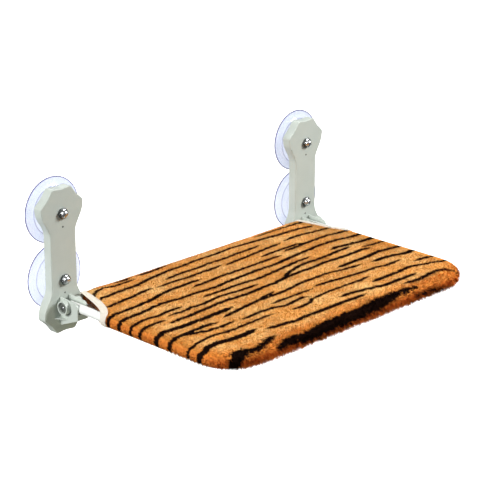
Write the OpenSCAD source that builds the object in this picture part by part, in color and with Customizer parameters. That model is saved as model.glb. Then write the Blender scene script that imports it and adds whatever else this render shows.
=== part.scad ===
// Window mounted cat perch: two moulded brackets on suction cups carry a
// folding tube frame with a plush covered mat.
// Origin: on the window glass, midway between the brackets, at hinge height.
// +X runs along the window, +Y into the glass, +Z up. Millimetres.

/* [Suction cups] */
// Radius of a cup's lip on the glass
cup_radius = 45; // [36:0.5:60]
// Gap between the lips of the two cups on one bracket
cup_gap = 1; // [0.5:0.5:20]
// Distance from the glass to the flat top of a cup
cup_height = 8.1; // [7.6:0.1:12]
// Thickness of the lip at its rim
lip_thickness = 0.9; // [0.6:0.1:1.4]
// Depth of the hollow at the middle of a cup
dish_depth = 5.8; // [5.2:0.1:6.2]
// Radius of the neck that stands in the bracket
neck_radius = 10; // [9:0.5:12]
// Height of the neck above the flat top
neck_height = 5.9; // [5:0.1:7]

/* [Brackets] */
// Distance between the middles of the two brackets
bracket_spacing = 465; // [400:1:560]
// Reach of the scalloped ends from their centres
lobe_reach = 37.2; // [32:0.1:42]
// Depth of the dips between the lobes
lobe_dip = 4; // [0:0.1:5]
// Width of the waist between the ends
waist_width = 43; // [36:0.5:54]
// Depth of a bracket from its back edge to its face
bracket_depth = 13.5; // [12.5:0.5:20]
// Wall around the hollow back of a bracket
shell_wall = 2.6; // [2:0.1:4]
// Thickness of the face
face_wall = 3; // [2:0.1:4]
// Distance from the lower stud down to the middle of the lower end
lower_end_drop = 38.5; // [30:0.5:44]
// Radius of the stud bosses inside the shell
boss_radius = 13; // [12.5:0.5:16]
// Radius of the small dimples on the face
dimple_radius = 1.3; // [0.8:0.1:2]
// Distance from a stud down to its dimple
dimple_drop = 18.5; // [13:0.5:22]

/* [Studs and nuts] */
// Radius of the threaded studs
stud_radius = 4; // [3:0.5:4]
// Radius of the disc that holds a stud in its cup
stud_disc_radius = 7.5; // [6:0.5:8.5]
// Thickness of the stud disc
stud_disc_thickness = 2; // [1.5:0.1:2.4]
// Width across the flats of a cap nut
nut_flats = 13; // [11:0.5:16]
// Height of the hexagon of a cap nut
nut_hex_height = 4; // [3.5:0.1:6]
// Height of the dome of a cap nut
nut_dome_height = 4.5; // [4:0.1:7]

/* [Hinge] */
// Distance from the lower stud down to the hinge axis
pivot_drop = 33; // [28:1:45]
// Distance from the bracket's face out to the hinge axis
pivot_reach = 12.9; // [12.9:0.1:20]
// Offset of the hinge block away from the middle of the perch
clevis_shift = 0.5; // [-4:0.5:2]
// Length of the hinge block out from the face
clevis_length = 35.2; // [32:0.1:48]
// Height of the cheeks above the hinge axis at the face
cheek_rise = 10.5; // [9.5:0.1:14]
// Height of the cheeks above the hinge axis at their free end
cheek_end_rise = 9; // [8:0.1:9.5]
// Depth of the hinge block below the axis at its free end
clevis_toe = 14.3; // [10:0.1:18]
// Depth of the hinge block below the axis at the face
clevis_heel = 28.8; // [18:0.1:32]
// Thickness of a cheek
cheek_wall = 2.2; // [2:0.1:5]
// Clearance between a cheek and the tube
cheek_gap = 0.5; // [0.3:0.1:1]
// Radius of the round bosses on the cheeks
knuckle_radius = 9.5; // [8.5:0.1:11]
// Wall of the outer boss round the bolt's head
knuckle_lip = 1.7; // [1:0.1:2.5]
// Length of the boss on the outer cheek
outer_knuckle = 7.5; // [5:0.1:9]
// Length of the boss on the inner cheek
inner_knuckle = 5; // [4:0.1:5.5]
// Radius of the pivot bolt
pivot_radius = 3; // [2.5:0.1:3.5]
// Radial clearance of the tube plug on the pivot bolt
pivot_clearance = 0.05; // [0.02:0.01:0.1]
// Radius of the bolt's round head
bolt_head_radius = 5.6; // [5:0.1:6]
// Thickness of the bolt's head
bolt_head_height = 3; // [2:0.1:3.2]
// Width across the flats of the pivot nut
pivot_nut_flats = 10; // [9:0.5:11]
// Thickness of the pivot nut
pivot_nut_height = 5; // [4:0.1:5]

/* [Frame] */
// Outside diameter of the frame tube
tube_diameter = 12; // [11:0.5:14]
// Wall of the frame tube
tube_wall = 1.1; // [0.8:0.1:1.4]
// Radius of the front bends, on the tube's centre line
bend_radius = 50; // [30:1:70]
// Straight leg of the front tube behind each bend
front_leg = 25; // [15:1:60]
// Length of the spigot that enters a side tube
spigot_length = 30; // [20:1:50]
// Distance from the hinge axis to the crossbar
crossbar_reach = 82; // [80:1:120]
// Radius of the pins on the crossbar's ends
crossbar_pin_radius = 2.4; // [1.5:0.1:3]
// Length of the plug in the rear end of a side tube
plug_length = 26; // [18:1:40]

/* [Mat] */
// Distance from the glass to the front edge of the mat
perch_depth = 333; // [280:1:420]
// Distance from the glass to the rear edge of the mat
rear_gap = 24; // [23.5:0.5:26]
// Thickness of the plush over the tubes
cover_wall = 1; // [0.8:0.1:2.5]
// Rise of the mat's top above its sides
crown_height = 4; // [0:0.1:4]
// Depth of the mat's sides below the hinge axis
skirt_depth = 9.4; // [9:0.1:22]
// How far the lower edge of the cover is drawn in
tuck_in = 5.5; // [2:0.1:6]
// Thickness of the cloth under the mat
cloth_thickness = 1; // [0.6:0.1:2]
// Width of the scooped rear corners, from the side of the mat
notch_width = 30.5; // [26:0.5:40]
// Length of the scooped rear corners, from the rear edge
notch_length = 74; // [66:1:90]
// Width of the hem round each scooped corner
hem_width = 10; // [6:0.5:14]
// Width of the closure tape under the mat
tape_width = 24; // [12:1:40]
// Thickness of the closure tape
tape_thickness = 0.8; // [0.5:0.1:1.5]

/* [Hidden] */

// Segments of round parts
$fn = 64;
// Overrun of a cut past the face that it opens
over = 1;
// Clearance of parts that touch nothing that moves
seat_gap = 0.3;
// Clearance round a part that is moulded in or pressed in
mould_fit = 0.05;
// Clearance of a fastener in its hole
hole_gap = 0.4;

// Heights of the studs above the hinge axis
lower_stud_z = pivot_drop;
cup_spacing = 2 * cup_radius + cup_gap;
upper_stud_z = lower_stud_z + cup_spacing;

// Places of the bracket, from the glass outwards
back_y = -cup_height;
face_y = back_y - bracket_depth;
pivot_y = face_y - pivot_reach;
bracket_x = bracket_spacing / 2;

// Radii of the tube and the hinge block
tube_radius = tube_diameter / 2;
bore_radius = tube_radius - tube_wall;
tube_x = bracket_x + clevis_shift;
channel_half = tube_radius + cheek_gap;
clevis_half = channel_half + cheek_wall;
floor_z = -(tube_radius + seat_gap);

// Places of the frame
front_y = -perch_depth + tube_radius + seat_gap + cover_wall;
bend_y = front_y + bend_radius;
joint_y = bend_y + front_leg;
crossbar_y = pivot_y - crossbar_reach;

// Outer sizes of the mat
edge_radius = tube_radius + seat_gap + cover_wall;
mat_half = tube_x + edge_radius;
mat_corner = bend_radius + edge_radius;

// Outline of a bracket: each end is scalloped, with blunt corners between
// hollows, and eases into the waist
lobe_pitch = 48;
lobe_blunt_share = 0.17;
scallop_end = 80;
scallop_steps = 20;
flare_steps = 8;
flare_length_share = 0.965;
upper_end_z = upper_stud_z;
lower_end_z = lower_stud_z - lower_end_drop;

function blunted(c) =
    (sqrt(c * c + pow(lobe_blunt_share, 2)) - lobe_blunt_share)
    / (sqrt(1 + pow(lobe_blunt_share, 2)) - lobe_blunt_share);
function end_radius(a, inset) =
    lobe_reach - inset - lobe_dip * blunted(cos(180 * a / lobe_pitch));
function scallop(inset) =
    [for (i = [0 : scallop_steps])
        let (a = scallop_end * i / scallop_steps, r = end_radius(a, inset))
        [r * sin(a), r * cos(a)]];
function flare(inset) =
    let (r = end_radius(scallop_end, inset),
         x0 = r * sin(scallop_end),
         z0 = r * cos(scallop_end),
         x1 = waist_width / 2 - inset,
         z1 = -lobe_reach * (flare_length_share - cos(scallop_end)))
    [for (i = [1 : flare_steps])
        let (t = i / flare_steps)
        [x1 + (x0 - x1) * (1 + cos(180 * t)) / 2, z0 + (z1 - z0) * t]];
function half_end(inset) = concat(scallop(inset), flare(inset));
function turned(points) =
    [for (i = [len(points) - 1 : -1 : 0]) points[i]];
function placed(points, sx, sz, z) =
    [for (p = points) [sx * p[0], z + sz * p[1]]];
function bracket_outline(inset) =
    concat(placed(half_end(inset), 1, 1, upper_end_z),
        turned(placed(half_end(inset), 1, -1, lower_end_z)),
        placed(half_end(inset), -1, -1, lower_end_z),
        turned(placed(half_end(inset), -1, 1, upper_end_z)));

// Stands a flat shape up, so that it faces the room, back on the glass side
module upright(depth) {
    rotate([90, 0, 0])
        linear_extrude(height = depth)
            children();
}

// A round bar along Y, from y0 towards the room
module bar_out(r, y0, length) {
    translate([0, y0, 0])
        rotate([90, 0, 0])
            cylinder(r = r, h = length);
}

// A round bar along X, from x0 to x1
module bar_across(r, x0, x1) {
    translate([x0, 0, 0])
        rotate([0, 90, 0])
            cylinder(r = r, h = x1 - x0);
}

// A hexagon bar along X, with two flats level
module hex_across(flats, x0, x1) {
    translate([x0, 0, 0])
        rotate([0, 90, 0])
            cylinder(d = flats / cos(30), h = x1 - x0, $fn = 6);
}

module at_studs() {
    for (z = [lower_stud_z, upper_stud_z])
        translate([0, 0, z])
            children();
}

// Side view of the hinge block: distance from the face, height. The upper edge
// falls to a round at the free end.
toe_round_share = 0.75;
module clevis_side() {
    r = cheek_end_rise * toe_round_share;
    square_end = cheek_end_rise - r;
    union() {
        polygon([[0, -clevis_heel], [clevis_length, -clevis_toe],
            [clevis_length, square_end], [clevis_length - r, cheek_end_rise],
            [0, cheek_rise]]);
        translate([clevis_length - r, square_end])
            circle(r = r);
    }
}

// Slab of the hinge block's side view between two distances from its middle
module clevis_slab(x0, x1) {
    translate([x1, face_y, 0])
        rotate([90, 0, -90])
            linear_extrude(height = x1 - x0)
                clevis_side();
}

rib_thickness = 1.6;
rib_depth_share = 0.64;
rib_reach = 16;
rib_spread = 9.5;
head_recess = 4.2;
nut_recess = 3.4;

// The hinge block in its own frame, outer side towards -X
module clevis() {
    difference() {
        union() {
            clevis_slab(-clevis_half, clevis_half);
            translate([0, pivot_y, 0])
                bar_across(knuckle_radius, -clevis_half - outer_knuckle,
                    clevis_half + inner_knuckle);
            translate([-clevis_half, face_y, -clevis_heel * rib_depth_share])
                linear_extrude(height = rib_thickness)
                    polygon([[0, 0], [-rib_spread, 0], [0, -rib_reach]]);
        }
        translate([-channel_half, face_y - clevis_length - over, floor_z])
            cube([2 * channel_half, clevis_length + over, cheek_rise - floor_z + over]);
        translate([0, pivot_y, 0]) {
            bar_across(pivot_radius + hole_gap, -clevis_half - outer_knuckle - over,
                clevis_half + inner_knuckle + over);
            bar_across(max(bolt_head_radius + hole_gap, knuckle_radius - knuckle_lip),
                -clevis_half - outer_knuckle - over,
                -clevis_half - outer_knuckle + head_recess);
            hex_across(pivot_nut_flats + hole_gap, clevis_half + inner_knuckle - nut_recess,
                clevis_half + inner_knuckle + over);
        }
    }
}

shell_rib = 1.8;
dimple_depth = 1;
rib_pitch_share = 0.2;

// A bracket in its own frame, outer side towards -X
module bracket_body() {
    color("#bcc4b8") {
        difference() {
            union() {
                difference() {
                    translate([0, back_y, 0])
                        upright(bracket_depth)
                            polygon(bracket_outline(0));
                    translate([0, back_y + over, 0])
                        upright(bracket_depth - face_wall + over)
                            polygon(bracket_outline(shell_wall));
                }
                at_studs()
                    bar_out(boss_radius, back_y, bracket_depth - face_wall / 2);
                bracket_ribs();
            }
            at_studs() {
                bar_out(stud_radius + hole_gap, back_y + over, bracket_depth + 2 * over);
                bar_out(neck_radius + mould_fit, back_y + over,
                    neck_height + mould_fit + over);
                translate([0, 0, -dimple_drop])
                    bar_out(dimple_radius, face_y + dimple_depth, dimple_depth + over);
            }
        }
        translate([-clevis_shift, 0, 0])
            clevis();
    }
}

// Upright and level ribs in the hollow back, from boss to boss
module bracket_ribs() {
    rib_h = bracket_depth - face_wall / 2;
    low_z = lower_end_z - lobe_reach + lobe_dip + shell_wall / 2;
    boss_top = lower_stud_z + boss_radius - shell_wall / 2;
    boss_low = lower_stud_z - boss_radius + shell_wall / 2;
    translate([-shell_rib / 2, back_y - rib_h, boss_top])
        cube([shell_rib, rib_h, cup_spacing - 2 * boss_radius + shell_wall]);
    translate([-shell_rib / 2, back_y - rib_h, low_z])
        cube([shell_rib, rib_h, boss_low - low_z]);
    for (k = [1 : 3])
        translate([-waist_width / 2 + shell_wall / 2, back_y - rib_h,
                lower_stud_z + cup_spacing / 2 - shell_rib / 2
                + (k - 2) * cup_spacing * rib_pitch_share])
            cube([waist_width - shell_wall, rib_h, shell_rib]);
}

// Half section of a cup: radius, distance from the glass. The shares give the
// steps of the outside and of the hollow.
lip_share = 0.98;
ring_share = 0.745;
ring_height_share = 0.6;
cap_share = 0.54;
cap_edge = 1.1;
cup_shoulder_share = 0.8;
dish_outer_share = 0.72;
dish_outer_depth_share = 0.33;
dish_inner_share = 0.42;
dish_inner_depth_share = 0.86;

module cup_section() {
    ring = cup_radius * ring_share;
    cap = cup_radius * cap_share;
    polygon([
        [0, dish_depth],
        [cup_radius * dish_inner_share, dish_depth * dish_inner_depth_share],
        [cup_radius * dish_outer_share, dish_depth * dish_outer_depth_share],
        [cup_radius * lip_share, 0],
        [cup_radius, 0],
        [cup_radius, lip_thickness],
        [ring + cap_edge, cup_height * ring_height_share - cap_edge],
        [ring, cup_height * ring_height_share],
        [ring - cap_edge, cup_height * ring_height_share],
        [cap + cap_edge, cup_height * cup_shoulder_share],
        [cap, cup_height],
        [neck_radius, cup_height],
        [neck_radius, cup_height + neck_height],
        [0, cup_height + neck_height]]);
}

// Gap from a cup's flat top up to the disc of its stud
disc_lift = 0.6;
// Share of a cap nut's height that its stud fills
stud_engage_share = 0.66;
stud_engage = (nut_hex_height + nut_dome_height) * stud_engage_share;
stud_disc_z = cup_height + disc_lift;

// A stud on its axis, measured from the glass, grown by a fit
module stud_shape(fit) {
    cylinder(r = stud_disc_radius + fit, h = stud_disc_thickness + 2 * fit);
    translate([0, 0, fit])
        cylinder(r = stud_radius + fit, h = cup_height + bracket_depth + stud_engage
            - stud_disc_z);
}

// Turns a shape built up from the glass so that it points at the room
module from_glass() {
    rotate([90, 0, 0])
        children();
}

module cup() {
    color("#dfe6f2")
        from_glass()
            difference() {
                rotate_extrude($fn = 96)
                    cup_section();
                translate([0, 0, stud_disc_z - mould_fit])
                    stud_shape(mould_fit);
            }
}

module studs() {
    color("#c9ccd0")
        at_studs()
            from_glass()
                translate([0, 0, stud_disc_z])
                    stud_shape(0);
}

// Radius of a nut's dome as a share of half its flats
dome_share = 0.93;
// Depth of a nut's bore past the end of the stud
nut_bore_spare = 0.6;

module cap_nuts() {
    dome_r = nut_flats / 2 * dome_share;
    color("#cfd2d4")
        at_studs()
            from_glass()
                translate([0, 0, -face_y])
                    difference() {
                        union() {
                            cylinder(d = nut_flats / cos(30), h = nut_hex_height, $fn = 6);
                            translate([0, 0, nut_hex_height])
                                nut_dome(dome_r);
                        }
                        translate([0, 0, -over])
                            cylinder(r = stud_radius + mould_fit,
                                h = stud_engage + nut_bore_spare + over);
                    }
}

dome_steps = 8;

// The dome on its flat base, a quarter of an ellipse turned round
module nut_dome(dome_r) {
    rotate_extrude()
        polygon(concat([[0, 0]],
            [for (i = [0 : dome_steps])
                let (a = 90 * i / dome_steps)
                [dome_r * cos(a), nut_dome_height * sin(a)]]));
}

// Places of the pivot bolt along X, outer side towards -X
head_x = -clevis_half - outer_knuckle + head_recess;
nut_x = clevis_half + inner_knuckle - nut_recess;
socket_share = 0.45;

module pivot_bolt() {
    color("#c9ccd0")
        translate([-clevis_shift, pivot_y, 0])
            difference() {
                union() {
                    bar_across(pivot_radius, head_x - bolt_head_height / 2,
                        nut_x + pivot_nut_height);
                    bar_across(bolt_head_radius, head_x - bolt_head_height, head_x);
                }
                hex_across(bolt_head_radius * 2 * socket_share,
                    head_x - bolt_head_height - over, head_x - bolt_head_height / 2);
            }
}

module pivot_nut() {
    color("#c9ccd0")
        translate([-clevis_shift, pivot_y, 0])
            difference() {
                hex_across(pivot_nut_flats, nut_x, nut_x + pivot_nut_height);
                bar_across(pivot_radius + mould_fit, nut_x - over,
                    nut_x + pivot_nut_height + over);
            }
}

// Keeps what lies within the tube's round rear end, about the hinge axis
module nipped(r) {
    intersection() {
        children();
        union() {
            translate([0, pivot_y, 0])
                bar_across(r, -2 * tube_diameter, 2 * tube_diameter);
            translate([-2 * tube_diameter, joint_y - 2 * tube_diameter, -2 * tube_diameter])
                cube([4 * tube_diameter, pivot_y - joint_y + 2 * tube_diameter,
                    4 * tube_diameter]);
        }
    }
}

screw_radius = 1.5;
screw_head_radius = 3;
screw_head_height = 1.6;
joint_screw_share = 0.5;
joint_screw_y = joint_y + spigot_length * joint_screw_share;

// A side tube on its own axis, crossbar side towards +X
module side_tube() {
    color("#eef0ee")
        difference() {
            nipped(tube_radius)
                bar_out(tube_radius, pivot_y + tube_radius, pivot_y + tube_radius - joint_y);
            bar_out(bore_radius, pivot_y + tube_diameter,
                pivot_y + tube_diameter - joint_y + over);
            translate([0, pivot_y, 0])
                bar_across(pivot_radius + hole_gap, -tube_diameter, tube_diameter);
            translate([0, crossbar_y, 0])
                bar_across(crossbar_pin_radius + seat_gap, 0, tube_diameter);
            translate([0, joint_screw_y, -tube_diameter])
                cylinder(r = screw_radius + mould_fit, h = tube_diameter);
        }
}

module tube_plug() {
    color("#2f3234")
        difference() {
            nipped(tube_radius)
                bar_out(bore_radius - mould_fit, pivot_y + tube_radius,
                    plug_length + tube_radius);
            translate([0, pivot_y, 0])
                bar_across(pivot_radius + pivot_clearance, -tube_diameter, tube_diameter);
        }
}

// The front tube's run, of any radius: leg, bend, front, bend, leg
module front_run(r, leg) {
    for (s = [-1, 1]) {
        translate([s * tube_x, 0, 0])
            bar_out(r, bend_y + leg, leg);
        translate([s * (tube_x - bend_radius), bend_y, 0])
            rotate([0, 0, s > 0 ? -90 : 180])
                rotate_extrude(angle = 90)
                    translate([bend_radius, 0])
                        circle(r = r);
    }
    translate([0, front_y, 0])
        bar_across(r, -tube_x + bend_radius, tube_x - bend_radius);
}

spigot_wall = 1.2;
module front_tube() {
    spigot_r = bore_radius - mould_fit;
    color("#eef0ee")
        difference() {
            union() {
                front_run(tube_radius, front_leg);
                for (s = [-1, 1])
                    translate([s * tube_x, 0, 0])
                        bar_out(spigot_r, joint_y + spigot_length, spigot_length + over);
            }
            front_run(spigot_r - spigot_wall, front_leg);
            for (s = [-1, 1])
                translate([s * tube_x, 0, 0]) {
                    bar_out(spigot_r - spigot_wall, joint_y + spigot_length + over,
                        spigot_length + 2 * over);
                    translate([0, joint_screw_y, -tube_diameter])
                        cylinder(r = screw_radius + mould_fit, h = tube_diameter);
                }
        }
}

module frame_screws() {
    color("#c9ccd0")
        for (s = [-1, 1])
            translate([s * tube_x, joint_screw_y, -tube_radius]) {
                translate([0, 0, -screw_head_height])
                    cylinder(r = screw_head_radius, h = screw_head_height);
                cylinder(r = screw_radius, h = tube_radius);
            }
}

// Solid plugs in the crossbar's ends, and how far their pins reach into the
// bores of the side tubes
crossbar_plug = 10;
pin_reach = 2;

module rear_crossbar() {
    plug_x = tube_x - tube_radius - crossbar_plug;
    color("#eef0ee")
        translate([0, crossbar_y, 0]) {
            difference() {
                bar_across(tube_radius, -tube_x, tube_x);
                bar_across(bore_radius, -plug_x, plug_x);
                for (s = [-1, 1])
                    translate([s * tube_x, 0, 0])
                        bar_out(tube_radius + mould_fit, tube_diameter, 2 * tube_diameter);
            }
            for (s = [0, 1])
                mirror([s, 0, 0])
                    bar_across(crossbar_pin_radius, plug_x + crossbar_plug / 2,
                        tube_x - bore_radius + pin_reach);
        }
}

// Outline of the mat from above, drawn in from its edges. The straight
// stretches have their points close to the corners, where the top rises.
front_steps = 12;
rear_steps = 2;
edge_shares = [0.06, 0.12, 0.5, 0.88, 0.94];
// Round of the rear corners before they are scooped out
rear_corner = 8;

function corner(cx, cy, r, a0, steps) =
    [for (i = [0 : steps])
        let (a = a0 + 90 * i / steps)
        [cx + r * cos(a), cy + r * sin(a)]];
function between(p, q) =
    [for (t = edge_shares) p + (q - p) * t];
function mat_outline(inset, rear_inset) =
    let (rf = max(mat_corner - inset, seat_gap),
         rr = max(rear_corner - inset, seat_gap),
         hw = mat_half - inset,
         yf = -perch_depth + inset,
         yr = -rear_gap - rear_inset,
         front_left = corner(-hw + rf, yf + rf, rf, 180, front_steps),
         front_right = corner(hw - rf, yf + rf, rf, 270, front_steps),
         rear_right = corner(hw - rr, yr - rr, rr, 0, rear_steps),
         rear_left = corner(-hw + rr, yr - rr, rr, 90, rear_steps))
    concat(front_left, between(front_left[front_steps], front_right[0]),
        front_right, between(front_right[front_steps], rear_right[0]),
        rear_right, between(rear_right[rear_steps], rear_left[0]),
        rear_left, between(rear_left[rear_steps], front_left[0]));

// Rise of the mat's top at a place: it starts from nothing at the sides and
// the front, and holds to the rear edge
crown_run = 45;
function eased(t) =
    let (u = min(max(t, 0), 1))
    u * u * (3 - 2 * u);
function crown(p) =
    crown_height * eased((mat_half - abs(p[0])) / crown_run)
    * eased((p[1] + perch_depth) / crown_run);

// Rings of the mat's form, from the lower edge over the side to the top.
// Each holds its inset from the outline and its height without the crown.
arc_steps = 4;
crown_steps = 3;

function form_rings(wall, under) =
    let (r = edge_radius - wall)
    concat(
        under > 0 ? [[wall + tuck_in, -skirt_depth - under]] : [],
        [for (i = [0 : arc_steps - 1])
            let (t = i / arc_steps)
            [wall + tuck_in * (1 - sqrt(1 - pow(1 - t, 2))), -skirt_depth * (1 - t)]],
        [for (i = [0 : arc_steps])
            let (a = 90 * i / arc_steps)
            [edge_radius - r * cos(a), r * sin(a)]],
        [for (i = [1 : crown_steps])
            [edge_radius + (crown_run - edge_radius) * i / crown_steps, r]]);

function ring_points(ring, top) =
    [for (p = mat_outline(ring[0], ring[0]))
        [p[0], p[1], ring[1] + crown(p) * max(ring[1], 0) / top]];

// A closed skin over a stack of rings, with a point at each end
module skin(rings, low_point, top_point) {
    n = len(rings[0]);
    m = len(rings);
    points = concat([for (r = rings) each r], [low_point, top_point]);
    walls = [for (k = [0 : m - 2]) for (j = [0 : n - 1])
        let (a = k * n + j, b = k * n + (j + 1) % n)
        each [[a, a + n, b + n], [a, b + n, b]]];
    floor_fan = [for (j = [0 : n - 1]) [m * n, j, (j + 1) % n]];
    roof_fan = [for (j = [0 : n - 1])
        [m * n + 1, (m - 1) * n + (j + 1) % n, (m - 1) * n + j]];
    polyhedron(points = points, faces = concat(walls, floor_fan, roof_fan));
}

mat_middle = -(perch_depth + rear_gap) / 2;

// The mat's form drawn in by a wall, and how far it reaches under the cloth
module mat_form(wall, under) {
    top = edge_radius - wall;
    rings = [for (r = form_rings(wall, under)) ring_points(r, top)];
    skin(rings, [0, mat_middle, -skirt_depth - under],
        [0, mat_middle, top + crown_height]);
}

// The cover's shell: its outside less the space inside it, open below
module cover_shell() {
    difference() {
        mat_form(0, 0);
        mat_form(cover_wall, over);
    }
}

// The scooped rear corner, as a curve of one control point, seen from above.
// With an inset it lies that much further into the mat.
scoop_x_share = 0.59;
scoop_y_share = 0.81;
scoop_steps = 12;

function scoop(inset) =
    let (p0 = [mat_half - notch_width - inset, -rear_gap],
         p2 = [mat_half, -rear_gap - notch_length - inset],
         c = [mat_half - notch_width * scoop_x_share - inset,
             -rear_gap - notch_length * scoop_y_share - inset])
    [for (i = [0 : scoop_steps])
        let (t = i / scoop_steps)
        p0 * pow(1 - t, 2) + c * 2 * t * (1 - t) + p2 * pow(t, 2)];

module scoop_flat(s, inset) {
    pts = concat([[mat_half + over, -rear_gap + over],
        [scoop(inset)[0][0], -rear_gap + over]], scoop(inset),
        [[mat_half + over, scoop(inset)[scoop_steps][1]]]);
    polygon([for (p = pts) [s * p[0], p[1]]]);
}

module scoop_prism(s, inset) {
    translate([0, 0, -skirt_depth - over])
        linear_extrude(height = skirt_depth + edge_radius + crown_height + 2 * over)
            scoop_flat(s, inset);
}

module plush_cover() {
    color("#e8933c")
        difference() {
            cover_shell();
            scoop_prism(-1, hem_width);
            scoop_prism(1, hem_width);
        }
}

module corner_hem(s) {
    color("#e8e0d4")
        intersection() {
            cover_shell();
            translate([0, 0, -skirt_depth - over])
                linear_extrude(height = skirt_depth + edge_radius + crown_height + 2 * over)
                    difference() {
                        scoop_flat(s, hem_width);
                        scoop_flat(s, 0);
                    }
        }
}

// The foam fills the cover between the tubes, down to the cloth, with a groove
// across it for the crossbar
foam_inset = edge_radius + tube_radius + seat_gap;
module foam_core() {
    groove_r = tube_radius + seat_gap;
    color("#f2eee2")
        difference() {
            intersection() {
                mat_form(cover_wall + seat_gap, 0);
                translate([0, 0, -skirt_depth + seat_gap])
                    linear_extrude(height = skirt_depth + edge_radius + crown_height)
                        difference() {
                            polygon(mat_outline(foam_inset, edge_radius));
                            scoop_flat(-1, hem_width);
                            scoop_flat(1, hem_width);
                        }
            }
            translate([0, crossbar_y, 0]) {
                bar_across(groove_r, -mat_half, mat_half);
                translate([-mat_half, -groove_r, -skirt_depth - over])
                    cube([2 * mat_half, 2 * groove_r, skirt_depth + over]);
            }
        }
}

module base_cloth() {
    color("#f4f1ea")
        translate([0, 0, -skirt_depth - cloth_thickness])
            linear_extrude(height = cloth_thickness)
                difference() {
                    polygon(mat_outline(tuck_in, tuck_in));
                    scoop_flat(-1, 0);
                    scoop_flat(1, 0);
                }
}

tape_length_share = 0.8;
tape_y_share = 0.14;
module closure_tape() {
    length = 2 * mat_half * tape_length_share;
    color("#d9d4c8")
        translate([-length / 2,
                -rear_gap - (perch_depth - rear_gap) * tape_y_share - tape_width / 2,
                -skirt_depth - cloth_thickness - tape_thickness])
            cube([length, tape_width, tape_thickness]);
}

// Left and right copies: shapes are built with their outer side towards -X
module left_side() {
    translate([-bracket_x, 0, 0])
        children();
}

module right_side() {
    translate([bracket_x, 0, 0])
        mirror([1, 0, 0])
            children();
}

left_side() bracket_body();  // left_bracket
right_side() bracket_body();  // right_bracket
left_side() translate([0, 0, upper_stud_z]) cup();  // left_upper_cup
left_side() translate([0, 0, lower_stud_z]) cup();  // left_lower_cup
right_side() translate([0, 0, upper_stud_z]) cup();  // right_upper_cup
right_side() translate([0, 0, lower_stud_z]) cup();  // right_lower_cup
left_side() studs();  // left_cup_studs
right_side() studs();  // right_cup_studs
left_side() cap_nuts();  // left_cap_nuts
right_side() cap_nuts();  // right_cap_nuts
left_side() pivot_bolt();  // left_pivot_bolt
right_side() pivot_bolt();  // right_pivot_bolt
left_side() pivot_nut();  // left_pivot_nut
right_side() pivot_nut();  // right_pivot_nut
translate([-tube_x, 0, 0]) side_tube();  // left_side_tube
translate([tube_x, 0, 0]) mirror([1, 0, 0]) side_tube();  // right_side_tube
translate([-tube_x, 0, 0]) tube_plug();  // left_tube_plug
translate([tube_x, 0, 0]) mirror([1, 0, 0]) tube_plug();  // right_tube_plug
front_tube();
frame_screws();
rear_crossbar();
foam_core();
plush_cover();
corner_hem(-1);  // left_corner_hem
corner_hem(1);  // right_corner_hem
base_cloth();
closure_tape();
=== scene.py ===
"""Window mounted cat perch: two moulded brackets on clear suction cups carry a
folding tube frame, and the frame carries a plush covered mat.

Shapes are worked out in millimetres in the frame of the CAD part: +X along the
window, +Y into the glass, +Z up, with the hinge axis at height nought.
"""

import bmesh
import bpy
import numpy as np
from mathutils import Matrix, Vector


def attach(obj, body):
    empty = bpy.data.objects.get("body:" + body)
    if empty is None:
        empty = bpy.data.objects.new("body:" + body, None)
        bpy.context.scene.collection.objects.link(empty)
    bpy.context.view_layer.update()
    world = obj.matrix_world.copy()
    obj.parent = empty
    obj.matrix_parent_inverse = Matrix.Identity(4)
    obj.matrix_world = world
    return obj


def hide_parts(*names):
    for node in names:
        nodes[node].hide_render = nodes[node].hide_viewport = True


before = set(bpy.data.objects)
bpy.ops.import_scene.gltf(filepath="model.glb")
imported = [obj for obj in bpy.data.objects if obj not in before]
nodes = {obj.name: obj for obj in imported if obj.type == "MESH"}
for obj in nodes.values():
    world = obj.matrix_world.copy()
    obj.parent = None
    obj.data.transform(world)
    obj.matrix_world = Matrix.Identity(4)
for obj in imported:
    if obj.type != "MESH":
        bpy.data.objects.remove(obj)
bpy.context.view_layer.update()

# The studio: a white sweep far below the perch, soft boxes over it, and the
# camera where the photograph was taken from, to the left and above.
scene = bpy.context.scene
scene.view_settings.view_transform = "Standard"


def placed(name, data):
    """A new object in the scene."""
    obj = bpy.data.objects.new(name, data)
    scene.collection.objects.link(obj)
    return obj


camera = placed("camera", bpy.data.cameras.new("camera"))
scene.camera = camera
camera.data.sensor_width = 36
camera.data.lens = 130.9
camera.data.clip_start, camera.data.clip_end = 0.05, 50
camera.location = (-1.59376, -1.69254, 0.83507)
aim = Vector((0.1160, 0, -0.0044)) - camera.location
camera.rotation_euler = aim.to_track_quat("-Z", "Y").to_euler()

world = bpy.data.worlds.new("studio")
scene.world = world
world.use_nodes = True
sky = world.node_tree.nodes
height = sky.new("ShaderNodeSeparateXYZ")
shade = sky.new("ShaderNodeValToRGB")
world.node_tree.links.new(sky.new("ShaderNodeTexCoord").outputs["Generated"],
                          height.inputs[0])
world.node_tree.links.new(height.outputs["Z"], shade.inputs[0])
world.node_tree.links.new(shade.outputs[0], sky["Background"].inputs["Color"])
for stop, place, grey in zip(shade.color_ramp.elements, (0.1, 0.5), (0.12, 0.16)):
    stop.position, stop.color = place, (grey, grey, grey, 1)
sky["Background"].inputs["Strength"].default_value = 1.0


def soft_box(name, place, size, watts, toward=(0, -0.17, 0), colour=(1, 1, 1)):
    """A square area light at a place in metres, turned to the perch."""
    lamp = bpy.data.lights.new(name, "AREA")
    lamp.shape, lamp.size, lamp.energy, lamp.color = "SQUARE", size, watts, colour
    obj = placed(name, lamp)
    obj.location = place
    turn = Vector(toward) - Vector(place)
    obj.rotation_euler = turn.to_track_quat("-Z", "Y").to_euler()


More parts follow.
